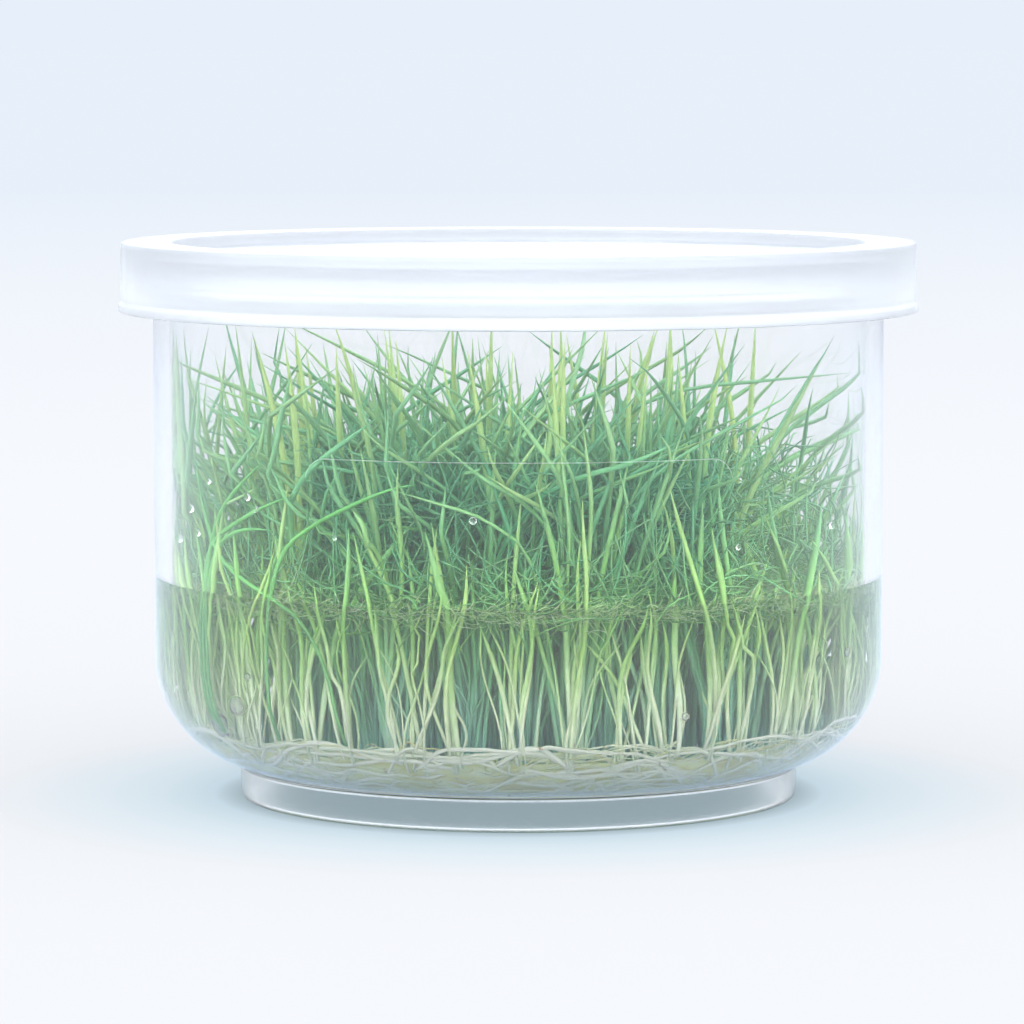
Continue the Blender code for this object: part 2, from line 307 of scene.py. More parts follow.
def cup():
    """The cup with its rounded bottom edge, foot ring, flange and neck."""
    foot_inside = FOOT_RADIUS - FOOT_WALL
    meets_foot = -math.degrees(math.acos((FOOT_RADIUS - CORNER_CENTRE[0]) / CORNER_RADIUS))
    profile = [(0.0, FLOOR_TOP)]
    profile += arc(CORNER_CENTRE, INNER_CORNER_RADIUS, -90, 0)
    profile += [(WALL_INSIDE, FLANGE_LOW), (MOUTH_RADIUS, FLANGE_LOW + MOUTH_RADIUS - WALL_INSIDE)]
    profile += [(MOUTH_RADIUS, CUP_HEIGHT), (NECK_RADIUS, CUP_HEIGHT)]
    profile += [(NECK_RADIUS, FLANGE_HIGH), (FLANGE_RADIUS, FLANGE_HIGH)]
    profile += [(FLANGE_RADIUS, FLANGE_LOW), (CUP_RADIUS, FLANGE_LOW)]
    profile += arc(CORNER_CENTRE, CORNER_RADIUS, 0, meets_foot)
    profile += [(FOOT_RADIUS, FOOT_TAPER_HEIGHT), (FOOT_RADIUS - FOOT_TAPER, 0.0)]
    profile += [(foot_inside, 0.0), (foot_inside, FOOT_HEIGHT), (0.0, FOOT_HEIGHT)]
    mesh = turned_mesh("cup_shell", softened(profile, CUP_EDGE_RADIUS))
    piece("cup_shell", mesh, clear_plastic(), ["cup"])
    mesh.materials.append(hazy_plastic())
    for face in mesh.polygons:
        if face.center.z < HAZY_BELOW:
            face.material_index = HAZY_PLASTIC


# The milky lid's colour by height, from the bead to the top, with painted light and shade on it:
# lightest a little above the bead and darkest at the top, where the light from above falls brightest
LID_MILK_AND_PAINTED_SHADE = (
    (0.16, (0.76, 0.785, 0.82)),
    (0.24, (0.83, 0.86, 0.90)),
    (0.5, (0.745, 0.77, 0.805)),
    (1.0, (0.555, 0.58, 0.615)),
)


def milky_plastic():
    material = principled("milky_plastic", (0.66, 0.69, 0.71), 0.4, ior=1.2, transmission=0.79)
    shader = shader_of(material)
    shader.inputs["Specular IOR Level"].default_value = 0.25
    shader.inputs["Sheen Weight"].default_value = 0.1
    shader.inputs["Sheen Roughness"].default_value = 0.35
    shader.inputs["Sheen Tint"].default_value = (0.85, 0.93, 1.0, 1.0)
    cloud = textured(material, scale=60.0, detail=3.0)
    shades = ramp_node(material, ((NOISE_LOW, (0.95, 0.95, 0.96)), (NOISE_HIGH, WHITE)))
    link(material, cloud.outputs[0], shades.inputs["Fac"])
    place = node(material, "ShaderNodeTexCoord")
    height = node(material, "ShaderNodeSeparateXYZ")
    link(material, place.outputs["Object"], height.inputs[0])
    up = node(material, "ShaderNodeMapRange", from_min=LID_BOTTOM, from_max=LID_TOP)
    link(material, height.outputs["Z"], up.inputs["Value"])
    # Painted light and shade by height: lighter low on the skirt, darker on the top
    milk_and_painted_shade = ramp_node(material, LID_MILK_AND_PAINTED_SHADE)
    link(material, up.outputs["Result"], milk_and_painted_shade.inputs["Fac"])
    colour = mixed(material, "MULTIPLY", milk_and_painted_shade.outputs["Color"], shades.outputs["Color"])
    link(material, colour, shader.inputs["Base Color"])
    uneven(material, scale=90.0, distance=0.02 * MM)
    return material


def lid():
    """The lid with its sunken panel, skirt and bead."""
    panel_top = LID_TOP - PANEL_DEPTH
    panel_under = panel_top - LID_THICKNESS
    plate_under = LID_TOP - LID_THICKNESS
    skirt_inside = LID_RADIUS - LID_THICKNESS
    bead_top = LID_BOTTOM + BEAD_HEIGHT
    profile = [(0.0, panel_top), (PANEL_RADIUS, panel_top)]
    profile += [(PANEL_RADIUS, LID_TOP), (LID_RADIUS, LID_TOP)]
    profile += [(LID_RADIUS, bead_top + BEAD_SLOPE), (BEAD_RADIUS, bead_top), (BEAD_RADIUS, LID_BOTTOM)]
    profile += [(BEAD_INNER_RADIUS, LID_BOTTOM), (BEAD_INNER_RADIUS, bead_top), (skirt_inside, bead_top)]
    profile += [(skirt_inside, plate_under), (PLUG_RADIUS, plate_under)]
    profile += [(PLUG_RADIUS, panel_under), (0.0, panel_under)]
    mesh = turned_mesh("lid_cap", softened(profile, LID_EDGE_RADIUS))
    piece("lid_cap", mesh, milky_plastic(), ["lid"])


# The gel, its bubbles and the drops above it: (degrees from the front, height in mm, radius in mm)
BUBBLES = (
    (-58.5, 10.8, 1.3),
    (-51.5, 12.9, 1.0),
    (-47.5, 16.0, 0.4),
    (27.0, 13.0, 0.45),
    (64.0, 17.5, 0.5),
)
DROPS = (
    (-47.0, 35.0, 0.42),
    (-45.0, 33.8, 0.36),
    (-29.5, 31.4, 0.3),
    (-7.0, 33.6, 0.38),
    (-57.0, 36.2, 0.3),
    (-63.0, 33.0, 0.45),
    (-60.5, 30.5, 0.35),
    (-68.0, 29.5, 0.5),
    (36.0, 30.2, 0.33),
    (58.0, 31.5, 0.4),
)
BUBBLE_GAP = 0.15
# Faces round the bubbles, which get the painted reflection
BUBBLE_PAINTED_REFLECTION = 1
DROP_DEPTH = 0.3
DROP_FLATTENING = 0.45
GEL_RINGS = 24
MENISCUS_RINGS = 6
MENISCUS_RISE = 0.2 * MM
SURFACE_DEPTH = 0.1 * MM
WAVES = 0.22 * MM
WAVE_LENGTH = 5.0 * MM
WAVE_SHIFT = 0.3


def clear_gel():
    material = principled("clear_gel", (0.985, 1.0, 0.975), 0.0, ior=1.34, transmission=1.0)
    uneven(material, scale=220.0, distance=0.03 * MM)
    return material


def bubble_painted_reflection():
    """The gel round a bubble, rough and partly white: painted reflection that makes the bubbles look
    pale.
    """
    material = principled("bubble_painted_reflection", (0.95, 0.98, 0.96), 0.2, ior=1.34, transmission=0.8)
    varied_roughness(material, scale=900.0, low=0.12, high=0.3)
    return material


def wall_spot(turn, height, off_wall):
    """The way out from the axis at an angle from the front, and a point on it near the cup's wall."""
    angle = math.radians(turn - 90)
    outward = Vector((math.cos(angle), math.sin(angle), 0.0))
    return outward, outward * (content_limit(height) - off_wall) + Vector((0.0, 0.0, height))


def bubble_centre(turn, height, radius):
    """Where a bubble lies: in the gel, just off the wall."""
    return wall_spot(turn, height * MM, (radius + BUBBLE_GAP) * MM)[1]


def add_ball(built, centre, radius, inward=False, flat=None):
    """Adds a ball to a mesh: a bubble if it faces inward, or a drop that is flat along a direction."""
    made = bmesh.ops.create_icosphere(built, subdivisions=3, radius=radius)["verts"]
    for vert in made:
        if flat is not None:
            vert.co -= flat * vert.co.dot(flat) * DROP_FLATTENING
        vert.co += centre
    if inward:
        faces = list({face for vert in made for face in vert.link_faces})
        bmesh.ops.reverse_faces(built, faces=faces)
        for face in faces:
            face.material_index = BUBBLE_PAINTED_REFLECTION


def gel():
    """The gel, rising a little at the wall, with the bubbles in it."""
    content_radius = WALL_INSIDE + SEAT
    corner = INNER_CORNER_RADIUS + SEAT
    flat = content_radius - MENISCUS_WIDTH
    profile = [(flat * i / GEL_RINGS, GEL_TOP) for i in range(GEL_RINGS + 1)]
    for i in range(1, MENISCUS_RINGS + 1):
        share = i / MENISCUS_RINGS
        profile.append((flat + MENISCUS_WIDTH * share, GEL_TOP + MENISCUS_RISE * share**2))
    profile += arc(CORNER_CENTRE, corner, 0, -90)
    profile += [(0.0, FLOOR_TOP - SEAT)]
    mesh = turned_mesh("gel_body", profile)
    built = bmesh.new()
    built.from_mesh(mesh)
    for vert in built.verts:
        if vert.co.z > GEL_TOP - SURFACE_DEPTH and vert.co.xy.length < flat:
            vert.co.z += WAVES * (noise.noise(vert.co / WAVE_LENGTH) - WAVE_SHIFT)
    for turn, height, radius in BUBBLES:
        add_ball(built, bubble_centre(turn, height, radius), radius * MM, inward=True)
    built.to_mesh(mesh)
    built.free()
    mesh.shade_smooth()
    piece("gel_body", mesh, clear_gel(), ["culture_gel"])
    mesh.materials.append(bubble_painted_reflection())


def drops():
    """Drops that cling to the wall above the gel."""
    built = bmesh.new()
    for turn, height, radius in DROPS:
        outward, centre = wall_spot(turn, height * MM, DROP_DEPTH * radius * MM)
        add_ball(built, centre, radius * MM, flat=outward)
    mesh = bpy.data.meshes.new("wall_drops")
    built.to_mesh(mesh)
    built.free()
    mesh.shade_smooth()
    piece("wall_drops", mesh, clear_gel())


# Tubes, for leaves, runners and roots
def tube_arrays(tubes, sides):
    """Points, faces and point values of closed tubes, which all have as many points.

    A tube is its spots, their radii, a direction across it and its lists of point values.
    """
    count = len(tubes[0][0])
    spots = np.array([tube[0] for tube in tubes])
    radii = np.array([tube[1] for tube in tubes])
    sideways = np.array([tube[2] for tube in tubes])[:, None, :]
    ahead = np.gradient(spots, axis=1)
    ahead /= np.linalg.norm(ahead, axis=2, keepdims=True)
    first = np.cross(ahead, sideways)
    first /= np.linalg.norm(first, axis=2, keepdims=True)
    second = np.cross(ahead, first)
    turn = 2 * math.pi * np.arange(sides) / sides
    ring = first[:, :, None, :] * np.cos(turn)[None, None, :, None]
    ring = ring + second[:, :, None, :] * np.sin(turn)[None, None, :, None]
    verts = spots[:, :, None, :] + ring * radii[:, :, None, None]
    faces = []
    for tube in range(len(tubes)):
        base = tube * count * sides
        for step in range(count - 1):
            low = base + step * sides
            for side in range(sides):
                beside = (side + 1) % sides
                faces.append((low + side, low + beside, low + sides + beside, low + sides + side))
        faces.append(tuple(base + side for side in reversed(range(sides))))
        faces.append(tuple(base + (count - 1) * sides + side for side in range(sides)))
    lists = zip(*(tube[3] for tube in tubes))
    values = [np.repeat(np.array(value).reshape(-1), sides) for value in lists]
    return verts.reshape(-1, 3), faces, values


def tube_mesh(name, groups, attributes):
    """One mesh of groups of tubes, each with its number of sides, and with named values at its points."""
    parts = [tube_arrays(tubes, sides) for tubes, sides in groups if tubes]
    faces = []
    shift = 0
    for verts, part_faces, _ in parts:
        faces += [tuple(index + shift for index in face) for face in part_faces]
        shift += len(verts)
    mesh = bpy.data.meshes.new(name)
    mesh.from_pydata(np.concatenate([part[0] for part in parts]).tolist(), [], faces)
    for index, attribute in enumerate(attributes):
        values = np.concatenate([part[2][index] for part in parts])
        mesh.attributes.new(attribute, "FLOAT", "POINT").data.foreach_set("value", values)
    mesh.shade_smooth()
    return mesh


def content_limit(height):
    """How far from the axis the cup's inner wall lets a thing stand at a height."""
    if height > CORNER_CENTRE[1]:
        return WALL_INSIDE
    drop = min(CORNER_CENTRE[1] - height, DEEPEST_DROP)
    return CORNER_CENTRE[0] + math.sqrt(INNER_CORNER_RADIUS**2 - drop**2)


def mat_height(radius):
    """Height of the mat's upper face: flat in the middle, rising on the cup's rounded bottom edge."""
    share = max(0.0, radius - MAT_FLAT_RADIUS) / (MAT_EDGE_RADIUS - MAT_FLAT_RADIUS)
    return MAT_TOP + (MAT_EDGE_TOP - MAT_TOP) * share**1.5


# The leaves
LEAF_VALUES = ("rise", "tone", "painted_shade")
LEAF_POINTS = 17
LEAF_SIDES = 5
LEAF_GAP = 0.05 * MM
LEAF_FOOT_WIDTH = 0.75
LEAF_TAPER = 5.5
SWAY_PACE = 4.0
WALL_CLUMPS = 58
WALL_RING = (34.6, 37.4)
FRONT_REACH = 18.0 * MM
INNER_CLUMPS = 64
INNER_RADIUS = 32.0 * MM
SCATTER = (-1.5, 1.5)
THIN_RADIUS = 27.5 * MM
THIN_FROM = math.radians(58)
THIN_TO = math.radians(160)
BEND_SPAN = 0.45
WALL_ZONE = 33.0 * MM
ROOTING = (0.5, 1.6)
WALL_ROOTING = (0.6, 3.2)
BUBBLE_ROOM = 1.0 * MM
CROWN_FOOT = 0.5 * MM

# How the leaves take their colour: by height, and by painted shade that darkens them and turns them bluer
# deep in the grass and low down, and fades out at the wall, high up and towards the sides (SIDE_LIGHT)
SHADE_OUTER = 35.5 * MM
SHADE_INNER = 30.0 * MM
SIDE_LIGHT = 1.45
SHADE_TOP = 47.0 * MM
SHADE_LOW = 34.0 * MM
# Colours from the pale leaf bases to the green tips. Their darkening at the very top is partly the tips'
# own deeper green and partly painted shade that offsets the stronger light from above
FRESH_RAMP = (
    (0.0, (0.90, 0.96, 0.80)),
    (0.10, (0.86, 0.99, 0.72)),
    (0.22, (0.52, 0.86, 0.34)),
    (0.34, (0.29, 0.69, 0.15)),
    (0.55, (0.17, 0.51, 0.23)),
    (1.0, (0.15, 0.40, 0.25)),
)
PALE_RAMP = (
    (0.0, (0.95, 0.98, 0.86)),
    (0.12, (0.90, 0.99, 0.68)),
    (0.30, (0.60, 0.89, 0.28)),
    (0.6, (0.60, 0.78, 0.27)),
    (1.0, (0.52, 0.70, 0.28)),
)
FLECKS = ((NOISE_LOW, (0.8, 0.86, 0.78)), (NOISE_HIGH, WHITE))
# Painted shade: the darker, bluer colour of leaves deep in the grass
INNER_PAINTED_SHADE = ((0.0, WHITE), (1.0, (0.40, 0.71, 0.80)))


class Kind:
    """A kind of leaf. Each pair is the least and the most of a value that is drawn for each leaf.

    The radius, the tip's height, its commonest height (peak) and the sway are in mm. A leaf leans by
    fan at its foot, and by bend more past the share late of its length, in radians. Its tone is 0 for
    fresh green and 1 for pale.
    """

    def __init__(self, radius, tip, peak, fan, bend, late, tone, sway):
        self.radius = radius
        self.tip = tip
        self.peak = peak
        self.fan = fan
        self.bend = bend
        self.late = late
        self.tone = tone
        self.sway = sway


STEM = Kind((0.19, 0.27), (20, 38), 25, (0.0, 0.42), (0.0, 0.5), 0.4, (0.2, 0.85), 1.6)
BROAD = Kind((0.30, 0.40), (27, 40), 34, (0.0, 0.20), (0.0, 0.5), 0.3, (0.1, 0.5), 1.0)
FINE = Kind((0.20, 0.32), (34, 53.2), 44, (0.0, 0.18), (0.0, 1.15), 0.30, (0.0, 0.55), 1.1)
SPLAYED = Kind((0.18, 0.28), (29, 47), 38, (0.0, 0.25), (0.7, 1.4), 0.30, (0.0, 0.4), 1.1)
PALE = Kind((0.27, 0.37), (47, 53.2), 53, (0.0, 0.14), (0.0, 0.2), 0.5, (0.85, 1.0), 0.6)
TALL = Kind((0.20, 0.30), (42, 53.2), 52, (0.0, 0.20), (0.0, 0.7), 0.30, (0.0, 0.55), 1.1)
THREAD = Kind((0.09, 0.15), (14, 29), 24, (0.0, 0.35), (0.0, 0.6), 0.4, (0.0, 0.8), 2.0)
WALL_MIX = ((STEM, 4), (BROAD, 1), (THREAD, 2))
FRONT_MIX = ((STEM, 4), (THREAD, 2))
THIN_MIX = ((STEM, 1), (THREAD, 4))
INNER_MIX = ((THREAD, 9), (STEM, 5), (FINE, 11), (SPLAYED, 3))
PALE_MIX = ((THREAD, 9), (STEM, 4), (FINE, 9), (SPLAYED, 2), (PALE, 2))

# Leaves that arch along the wall at the front left, as (degrees from the front, height in mm)
ARCHES = (
    (
        (-29.0, 10.0), (-31.0, 17.0), (-36.0, 22.4), (-43.2, 24.8),
        (-51.0, 26.9), (-56.2, 29.4), (-60.0, 33.7), (-63.4, 39.7),
    ),
    (
        (-57.5, 10.0), (-59.0, 18.0), (-58.8, 25.0), (-56.8, 30.2),
        (-53.6, 33.6), (-48.8, 36.4), (-44.2, 38.7),
    ),
    (
        (-58.5, 10.0), (-60.0, 18.0), (-59.5, 25.0), (-56.8, 29.6),
        (-49.6, 32.3), (-43.2, 34.2), (-37.6, 35.5),
    ),
    (
        (-56.5, 10.0), (-58.0, 18.0), (-58.0, 25.0), (-55.0, 29.4),
        (-48.8, 31.4), (-41.4, 31.7),
    ),
    (
        (-42.5, 10.0), (-43.0, 18.0), (-42.2, 25.0), (-39.4, 29.6),
        (-34.4, 32.2), (-28.0, 34.4), (-20.6, 36.5), (-16.0, 37.2),
    ),
)
ARCH_RADIUS = (0.22, 0.29)
ARCH_TAPER = 4.0
ARCH_OFF_WALL = 0.2 * MM
ARCH_RISE = (0.25, 0.42)
ARCH_TONE = 0.2
# The arching leaves take this fixed share of the painted shade, which darkens them
ARCH_SHADE = 0.8

# The grass stands taller and thicker at the left wall than at the right one
LEFT_LEAVES = 30
LEFT_TURNS = (-112.0, -66.0)
LEFT_RING = (29.0, 36.5)
RIGHT_FROM = 23.0 * MM
RIGHT_ABOVE = 36.0 * MM

# The short mossy leaves: those in the middle and those low along the wall, with (distances, heights)
MOSS = 2600
LOW_MOSS = 1000
MIDDLE_GROWTH = ((0.0, 34.0 * MM), (22.0 * MM, 36.0 * MM))
LOW_GROWTH = ((31.0 * MM, 37.5 * MM), (22.5 * MM, 27.0 * MM))
MOSS_POINTS = 6
MOSS_SIDES = 3
MOSS_TOP = 40.0 * MM
MOSS_OFF_WALL = 0.5 * MM
MOSS_LENGTH = (6.0, 13.0)
MOSS_RADIUS = (0.07, 0.13)
MOSS_CLIMB = (-0.4, 1.3)
MOSS_BEND = (-0.25, 0.25)
MOSS_WANDER = (-0.35, 0.35)
MOSS_TIP = 0.2
MOSS_RISE = 0.1
# The moss takes at least this share of painted shade
LEAST_MOSS_SHADE = 0.25

# The pale fibres along the gel's edge
FRINGE = 2400
FRINGE_POINTS = 5
FRINGE_SIDES = 3
FRINGE_OFF_WALL = (0.15, 1.3)
FRINGE_LENGTH = (0.8, 3.2)
FRINGE_RADIUS = (0.02, 0.04)
FRINGE_TIP = 0.3
FRINGE_CROWDING = 5.0


def leaf_green():
    material = principled("leaf_green", (0.2, 0.45, 0.1), 0.4, ior=1.4)
    shader_of(material).inputs["Specular IOR Level"].default_value = 0.15
    rise = node(material, "ShaderNodeAttribute", attribute_name="rise")
    tone = node(material, "ShaderNodeAttribute", attribute_name="tone")
    painted_shade = node(material, "ShaderNodeAttribute", attribute_name="painted_shade")
    fresh = ramp_node(material, FRESH_RAMP)
    pale = ramp_node(material, PALE_RAMP)
    link(material, rise.outputs["Fac"], fresh.inputs["Fac"])
    link(material, rise.outputs["Fac"], pale.inputs["Fac"])
    hue = mixed(material, "MIX", fresh.outputs["Color"], pale.outputs["Color"], tone.outputs["Fac"])
    mottle = textured(material, scale=700.0, detail=3.0)
    flecks = ramp_node(material, FLECKS)
    link(material, mottle.outputs[0], flecks.inputs["Fac"])
    hue = mixed(material, "MULTIPLY", hue, flecks.outputs["Color"])
    # Painted shade: the leaf's colour darkened and turned bluer where it lies deep in the grass
    inner = ramp_node(material, INNER_PAINTED_SHADE)
    link(material, painted_shade.outputs["Fac"], inner.inputs["Fac"])
    hue = mixed(material, "MULTIPLY", hue, inner.outputs["Color"])
    link(material, hue, shader_of(material).inputs["Base Color"])
    varied_roughness(material, scale=500.0, low=0.32, high=0.5)
    return material


def smooth(share):
    """A share from 0 to 1, eased at both ends."""
    share = min(1.0, max(0.0, share))
    return share * share * (3 - 2 * share)


def painted_shade_at(x, y, z):
    """Painted shade at a point: most deep in the grass and low down, none at the wall, sides or top."""
    outer = SHADE_OUTER - WALL_INSIDE + content_limit(z)
    inside = smooth((outer - max(math.hypot(x, y), SIDE_LIGHT * abs(x))) / (SHADE_OUTER - SHADE_INNER))
    return inside * smooth((SHADE_TOP - z) / (SHADE_TOP - SHADE_LOW))


def rise_at(z, shift):
    """How high a point lies in the grass, as a share of its height."""
    return (z - MAT_TOP) / (TALLEST_TIP - MAT_TOP) + shift


def thin_grown(spot):
    """Whether a spot lies in the stretches along the wall, at the sides, where little grows."""
    turn = abs(math.atan2(spot.x, -spot.y))
    return spot.length > THIN_RADIUS and THIN_FROM < turn < THIN_TO


def clump_places(rng):
    """Where plantlets stand, and what grows there: a ring along the wall and a spiral scatter inside."""
    places = []
    for i in range(WALL_CLUMPS):
        angle = 2 * math.pi * (i + rng.uniform(-0.4, 0.4)) / WALL_CLUMPS
        radius = rng.uniform(*WALL_RING) * MM
        spot = Vector((radius * math.cos(angle), radius * math.sin(angle)))
        if thin_grown(spot) and i % 3:
            mix = THIN_MIX
        else:
            mix = WALL_MIX if abs(spot.x) > FRONT_REACH or i % 3 == 0 else FRONT_MIX
        places.append((spot, mix))
    for i in range(INNER_CLUMPS):
        angle = i * math.pi * (3 - math.sqrt(5))
        radius = INNER_RADIUS * math.sqrt((i + 0.5) / INNER_CLUMPS)
        spot = Vector((radius * math.cos(angle), radius * math.sin(angle)))
        if thin_grown(spot) and i % 3 != 1:
            continue
        mix = INNER_MIX if i % 3 else PALE_MIX
        places.append((spot + Vector((rng.uniform(*SCATTER), rng.uniform(*SCATTER))) * MM, mix))
    return places


def taper(share, pace):
    """How much of its width a leaf still has at a share of its length: it narrows near its tip."""
    return max(0.05, min(1.0, (1 - share) * pace) ** 0.8)


def climb(spot, leans, headings, step, radius):
    """A leaf's points in even steps from its foot. They slide along the cup's wall where they meet it."""
    spots = []
    for lean, heading in zip(leans, headings):
        out = spot.xy.length
        limit = content_limit(spot.z) - radius - LEAF_GAP
        if out > limit:
            spot.x *= limit / out
            spot.y *= limit / out
        spots.append(spot.copy())
        ahead = Vector((math.cos(heading), math.sin(heading))) * math.sin(lean)
        spot = spot + Vector((ahead.x, ahead.y, math.cos(lean))) * step
    return spots


def sway_aside(spots, shares, aside, phase, radius):
    """Moves a leaf's points aside in an easy wave, wherever the wall leaves room."""
    for share, spot in zip(shares, spots):
        swayed = spot + aside * math.sin(math.pi * share) * math.sin(phase + SWAY_PACE * share)
        if swayed.xy.length < content_limit(swayed.z) - radius:
            spot.xy = swayed.xy


def keep_off_bubbles(spots, radius):
    """Moves a leaf's points inward, out of the bubbles in the gel."""
    for turn, height, size in BUBBLES:
        centre = bubble_centre(turn, height, size)
        room = size * MM + radius
        for spot in spots:
            apart = spot - centre
            if apart.length < room:
                outward = Vector((centre.x, centre.y, 0.0)).normalized()
                spot -= outward * (room - apart.length + BUBBLE_ROOM)


def leaf(place, kind, rng):
    """One leaf: it rises from its plantlet, bends over and runs on straight."""
    away = rng.uniform(0, 2 * math.pi)
    base = place + Vector((math.cos(away), math.sin(away))) * rng.uniform(0.2, 1.2) * MM
    turn = math.atan2(place.y, place.x) + rng.gauss(0.0, 1.3)
    fan = rng.uniform(*kind.fan)
    bend = rng.uniform(*kind.bend)
    radius = rng.uniform(*kind.radius) * MM
    rooting = rng.uniform(*(WALL_ROOTING if place.length > WALL_ZONE else ROOTING)) * MM
    low = mat_height(base.length) - rooting
    top = rng.triangular(*kind.tip, kind.peak) * MM - radius
    twist = rng.uniform(-0.5, 0.5)
    sway = rng.uniform(0.2, kind.sway) * MM
    phase = rng.uniform(0, 2 * math.pi)
    shares = [i / (LEAF_POINTS - 1) for i in range(LEAF_POINTS)]
    leans = [fan + bend * smooth((share - kind.late) / BEND_SPAN) for share in shares]
    headings = [turn + twist * share for share in shares]
    step = (top - low) / sum(math.cos(lean) for lean in leans[:-1])
    spots = climb(Vector((base.x, base.y, low)), leans, headings, step, radius)
    sideways = Vector((-math.sin(turn + twist / 2), math.cos(turn + twist / 2), 0.0))
    sway_aside(spots, shares, sideways * sway, phase, radius)
    keep_off_bubbles(spots, radius)
    shift = rng.uniform(-0.05, 0.05)
    rise = [rise_at(spot.z, shift) for spot in spots]
    painted_shade = [painted_shade_at(*spot) for spot in spots]
    radii = [radius * min(LEAF_FOOT_WIDTH + share, 1.0) * taper(share, LEAF_TAPER) for share in shares]
    tone = rng.uniform(*kind.tone)
    return [tuple(spot) for spot in spots], radii, tuple(sideways), (rise, [tone] * LEAF_POINTS, painted_shade)


def through(points, share):
    """A smooth way through points, at a share of its length."""
    along = share * (len(points) - 1)
    i = min(int(along), len(points) - 2)
    t = along - i
    around = [min(max(j, 0), len(points) - 1) for j in range(i - 1, i + 3)]
    before, start, end, after = (points[j] for j in around)
    return [
        (2 * b + (c - a) * t + (2 * a - 5 * b + 4 * c - d) * t**2 + (3 * b - a - 3 * c + d) * t**3) / 2
        for a, b, c, d in zip(before, start, end, after)
    ]


def arching_leaf(points, rng):
    """One of the long fresh leaves that arch along the wall at the front left, just inside it."""
    radius = rng.uniform(*ARCH_RADIUS) * MM
    shares = [i / (LEAF_POINTS - 1) for i in range(LEAF_POINTS)]
    spots = []
    for share in shares:
        turn, height = through(points, share)
        spots.append(wall_spot(turn, height * MM, radius + ARCH_OFF_WALL)[1])
    outward = wall_spot(*points[len(points) // 2], 0.0)[0]
    radii = [radius * taper(share, ARCH_TAPER) for share in shares]
    rise = [ARCH_RISE[0] + (ARCH_RISE[1] - ARCH_RISE[0]) * share for share in shares]
    values = (rise, [ARCH_TONE] * LEAF_POINTS, [ARCH_SHADE] * LEAF_POINTS)
    return [tuple(spot) for spot in spots], radii, tuple(outward), values


def moss_strand(rng, outs, heights):
    """One of the fine short leaves that fill the middle just above the gel, in every direction."""
    away = rng.uniform(0, 2 * math.pi)
    out = outs[0] + (outs[1] - outs[0]) * math.sqrt(rng.random())
    spot = Vector((out * math.cos(away), out * math.sin(away), rng.uniform(*heights)))
    heading = rng.uniform(0, 2 * math.pi)
    pitch = rng.uniform(*MOSS_CLIMB)
    bend = rng.uniform(*MOSS_BEND)
    step = rng.uniform(*MOSS_LENGTH) * MM / (MOSS_POINTS - 1)
    radius = rng.uniform(*MOSS_RADIUS) * MM
    limit = WALL_INSIDE - MOSS_OFF_WALL
    spots = []
    for _ in range(MOSS_POINTS):
        if spot.xy.length > limit:
            spot.xy = spot.xy.normalized() * limit
        spot.z = min(spot.z, MOSS_TOP)
        spots.append(tuple(spot))
        level = math.cos(pitch) * step
        ahead = Vector((level * math.cos(heading), level * math.sin(heading), math.sin(pitch) * step))
        spot = spot + ahead
        pitch += bend
        heading += rng.uniform(*MOSS_WANDER)
    radii = [radius] * (MOSS_POINTS - 1) + [radius * MOSS_TIP]
    tone = rng.uniform(0.0, 0.35)
    rise = [rise_at(z, MOSS_RISE) for _, _, z in spots]
    painted_shade = [max(LEAST_MOSS_SHADE, painted_shade_at(*spot)) for spot in spots]
    sideways = (math.sin(heading) * 0.3, math.cos(heading) * 0.3, 0.91)
    return spots, radii, sideways, (rise, [tone] * MOSS_POINTS, painted_shade)


def fringe_fibre(rng):
    """A fine fibre of the pale fringe that hangs on the wall along the gel's edge, thick in places."""
    turn = rng.uniform(0, 2 * math.pi)
    crowd = noise.noise(Vector((math.cos(turn), math.sin(turn), 0.3)) * FRINGE_CROWDING)
    depth = WALL_INSIDE - rng.uniform(*FRINGE_OFF_WALL) * MM
    height = GEL_TOP + (rng.gauss(-0.4, 0.35 + 0.8 * max(0.0, crowd + 0.2)) + 0.4 * crowd) * MM
    length = rng.uniform(*FRINGE_LENGTH) * MM
    pitch = rng.gauss(0.0, 0.6)
    bend = rng.uniform(-0.5, 0.5)
    spots = []
    for _ in range(FRINGE_POINTS):
        spots.append((depth * math.cos(turn), depth * math.sin(turn), height))
        turn += math.cos(pitch) * length / (FRINGE_POINTS - 1) / depth
        height += math.sin(pitch) * length / (FRINGE_POINTS - 1)
        pitch += bend
    radius = rng.uniform(*FRINGE_RADIUS) * MM
    radii = [radius] * (FRINGE_POINTS - 1) + [radius * FRINGE_TIP]
    rise = rng.uniform(0.12, 0.3)
    tone = rng.uniform(0.2, 0.8)
    values = tuple([value] * FRINGE_POINTS for value in (rise, tone, 0.0))
    return spots, radii, UP, values


def sparse_right(stem):
    """Whether a leaf ends high up at the right, where few do."""
    tip = stem[0][-1]
    return tip[0] > RIGHT_FROM and tip[2] > RIGHT_ABOVE


def tuft_names():
    return sorted(name for name in frame["nodes"] if name.startswith("tuft_"))


def tuft_centre(name):
    """The middle of a tuft's crown, from the lowest points of its solid."""
    mesh = frame["nodes"][name].data
    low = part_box(name)[0][2] + CROWN_FOOT
    foot = [vert.co.xy for vert in mesh.vertices if vert.co.z < low]
    return sum(foot, Vector((0.0, 0.0))) / len(foot)


